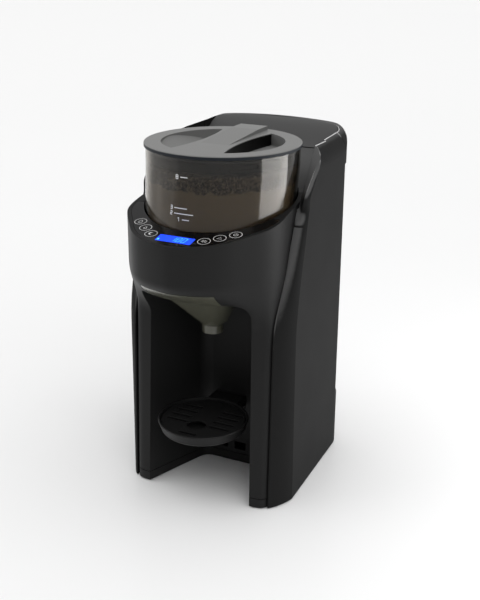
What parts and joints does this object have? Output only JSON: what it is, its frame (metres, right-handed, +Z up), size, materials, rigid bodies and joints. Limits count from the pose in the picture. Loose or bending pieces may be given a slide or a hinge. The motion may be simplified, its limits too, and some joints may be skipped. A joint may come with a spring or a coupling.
{
  "type": "baby formula maker",
  "caption": "Countertop baby formula maker: round powder container above a bowed head with touch panel, pull-out funnel, bottle bay with drip tray, and a lift-off water tank behind",
  "frame": {"origin": "middle of the machine's bounding box on the surface that it stands on", "axes": "+Z up, -Y towards the front with the bottle bay, +X to the right as seen from the front"},
  "size_m": [0.1962, 0.268, 0.388],
  "materials": {
    "housing_black": "black moulded plastic, satin, fine grain",
    "casing_grey": "dark charcoal grey moulded plastic, satin",
    "lid_grey": "light grey moulded plastic, satin",
    "panel_black": "black glossy printed panel",
    "display_blue": "blue backlit liquid crystal window",
    "clear_smoke": "transparent smoky moulded plastic",
    "clear": "clear transparent moulded plastic",
    "smoke_funnel": "smoky translucent moulded plastic",
    "white_plastic": "white moulded acetal plastic",
    "rubber_black": "black rubber",
    "silicone": "milky silicone rubber",
    "board_green": "glass-fibre circuit board",
    "steel": "stainless steel",
    "inner_black": "black inner moulding, matt",
    "aluminium_block": "cast aluminium"
  },
  "bodies": {
    "machine": {"outer_casing": "casing_grey", "base_cover": "casing_grey", "rubber_feet": "rubber_black", "front_housing": "housing_black", "control_panel": "panel_black", "display_window": "display_blue", "panel_board": "board_green", "top_deck": "casing_grey", "tank_dock": "inner_black", "rear_panel": "inner_black", "drive_deck": "inner_black", "shaft_bush": "white_plastic", "dosing_motor": "steel", "motor_bracket": "steel", "powder_chute": "white_plastic", "funnel_guide": "inner_black", "water_nozzle": "silicone", "heater_block": "aluminium_block", "pump_mounts": "rubber_black", "water_pump": "inner_black"},
    "drive_train": {"drive_shaft": "steel", "drive_gear": "white_plastic"},
    "pinion": {"motor_pinion": "white_plastic"},
    "hopper": {"powder_hopper": "clear_smoke", "powder_scraper": "white_plastic"},
    "wheel": {"dosing_wheel": "white_plastic", "stirrer": "white_plastic"},
    "lid_ring": {"lid_seal": "silicone"},
    "lid": {"hopper_lid": "lid_grey"},
    "funnel": {"mixing_funnel": "smoke_funnel", "funnel_cover": "smoke_funnel"},
    "tray": {"drip_tray": "housing_black"},
    "grille": {"tray_grille": "housing_black"},
    "tank": {"water_tank": "clear_smoke"},
    "tank_cover": {"tank_lid": "casing_grey"},
    "float": {"level_float": "white_plastic"},
    "valve": {"tank_valve": "white_plastic", "valve_seal": "silicone", "valve_spring": "steel"}
  },
  "joints": [
    {"name": "hopper_lift", "type": "slide", "parent": "machine", "child": "hopper", "axis": [0, 0, 1], "range_m": [0, 0.09]},
    {"name": "lid_lift", "type": "slide", "parent": "hopper", "child": "lid_ring", "axis": [0, 0, 1], "range_m": [0, 0.06]},
    {"name": "lid_twist", "type": "hinge", "parent": "lid_ring", "child": "lid", "pos_m": [0, -0.012, 0.38], "axis": [0, 0, -1], "range_deg": [0, 20]},
    {"name": "drive_spin", "type": "hinge", "parent": "machine", "child": "drive_train", "pos_m": [0, -0.02, 0.288], "axis": [0, 0, 1], "continuous": true},
    {"name": "pinion_spin", "type": "hinge", "parent": "machine", "child": "pinion", "pos_m": [0, 0.028, 0.288], "axis": [0, 0, 1], "continuous": true},
    {"name": "wheel_spin", "type": "hinge", "parent": "hopper", "child": "wheel", "pos_m": [0, -0.02, 0.31], "axis": [0, 0, 1], "continuous": true},
    {"name": "funnel_pull", "type": "slide", "parent": "machine", "child": "funnel", "axis": [0, -1, 0], "range_m": [0, 0.1]},
    {"name": "tray_pull", "type": "slide", "parent": "machine", "child": "tray", "axis": [0, -1, 0], "range_m": [0, 0.12]},
    {"name": "grille_lift", "type": "slide", "parent": "tray", "child": "grille", "axis": [0, 0, 1], "range_m": [0, 0.03]},
    {"name": "tank_lift", "type": "slide", "parent": "machine", "child": "tank", "axis": [0, 0, 1], "range_m": [0, 0.08]},
    {"name": "tank_lid_lift", "type": "slide", "parent": "tank", "child": "tank_cover", "axis": [0, 0, 1], "range_m": [0, 0.05]},
    {"name": "float_rise", "type": "slide", "parent": "tank", "child": "float", "axis": [0, 0, 1], "range_m": [0, 0.2]},
    {"name": "valve_open", "type": "slide", "parent": "tank", "child": "valve", "axis": [0, 0, 1], "range_m": [0, 0.0025], "stiffness_N_per_m": 200, "springref_m": -0.004, "deforming": ["valve_spring"]}
  ],
  "couplings": [
    {"joint": "wheel_spin", "follows": "drive_spin", "ratio": 1},
    {"joint": "pinion_spin", "follows": "drive_spin", "ratio": -3}
  ]
}
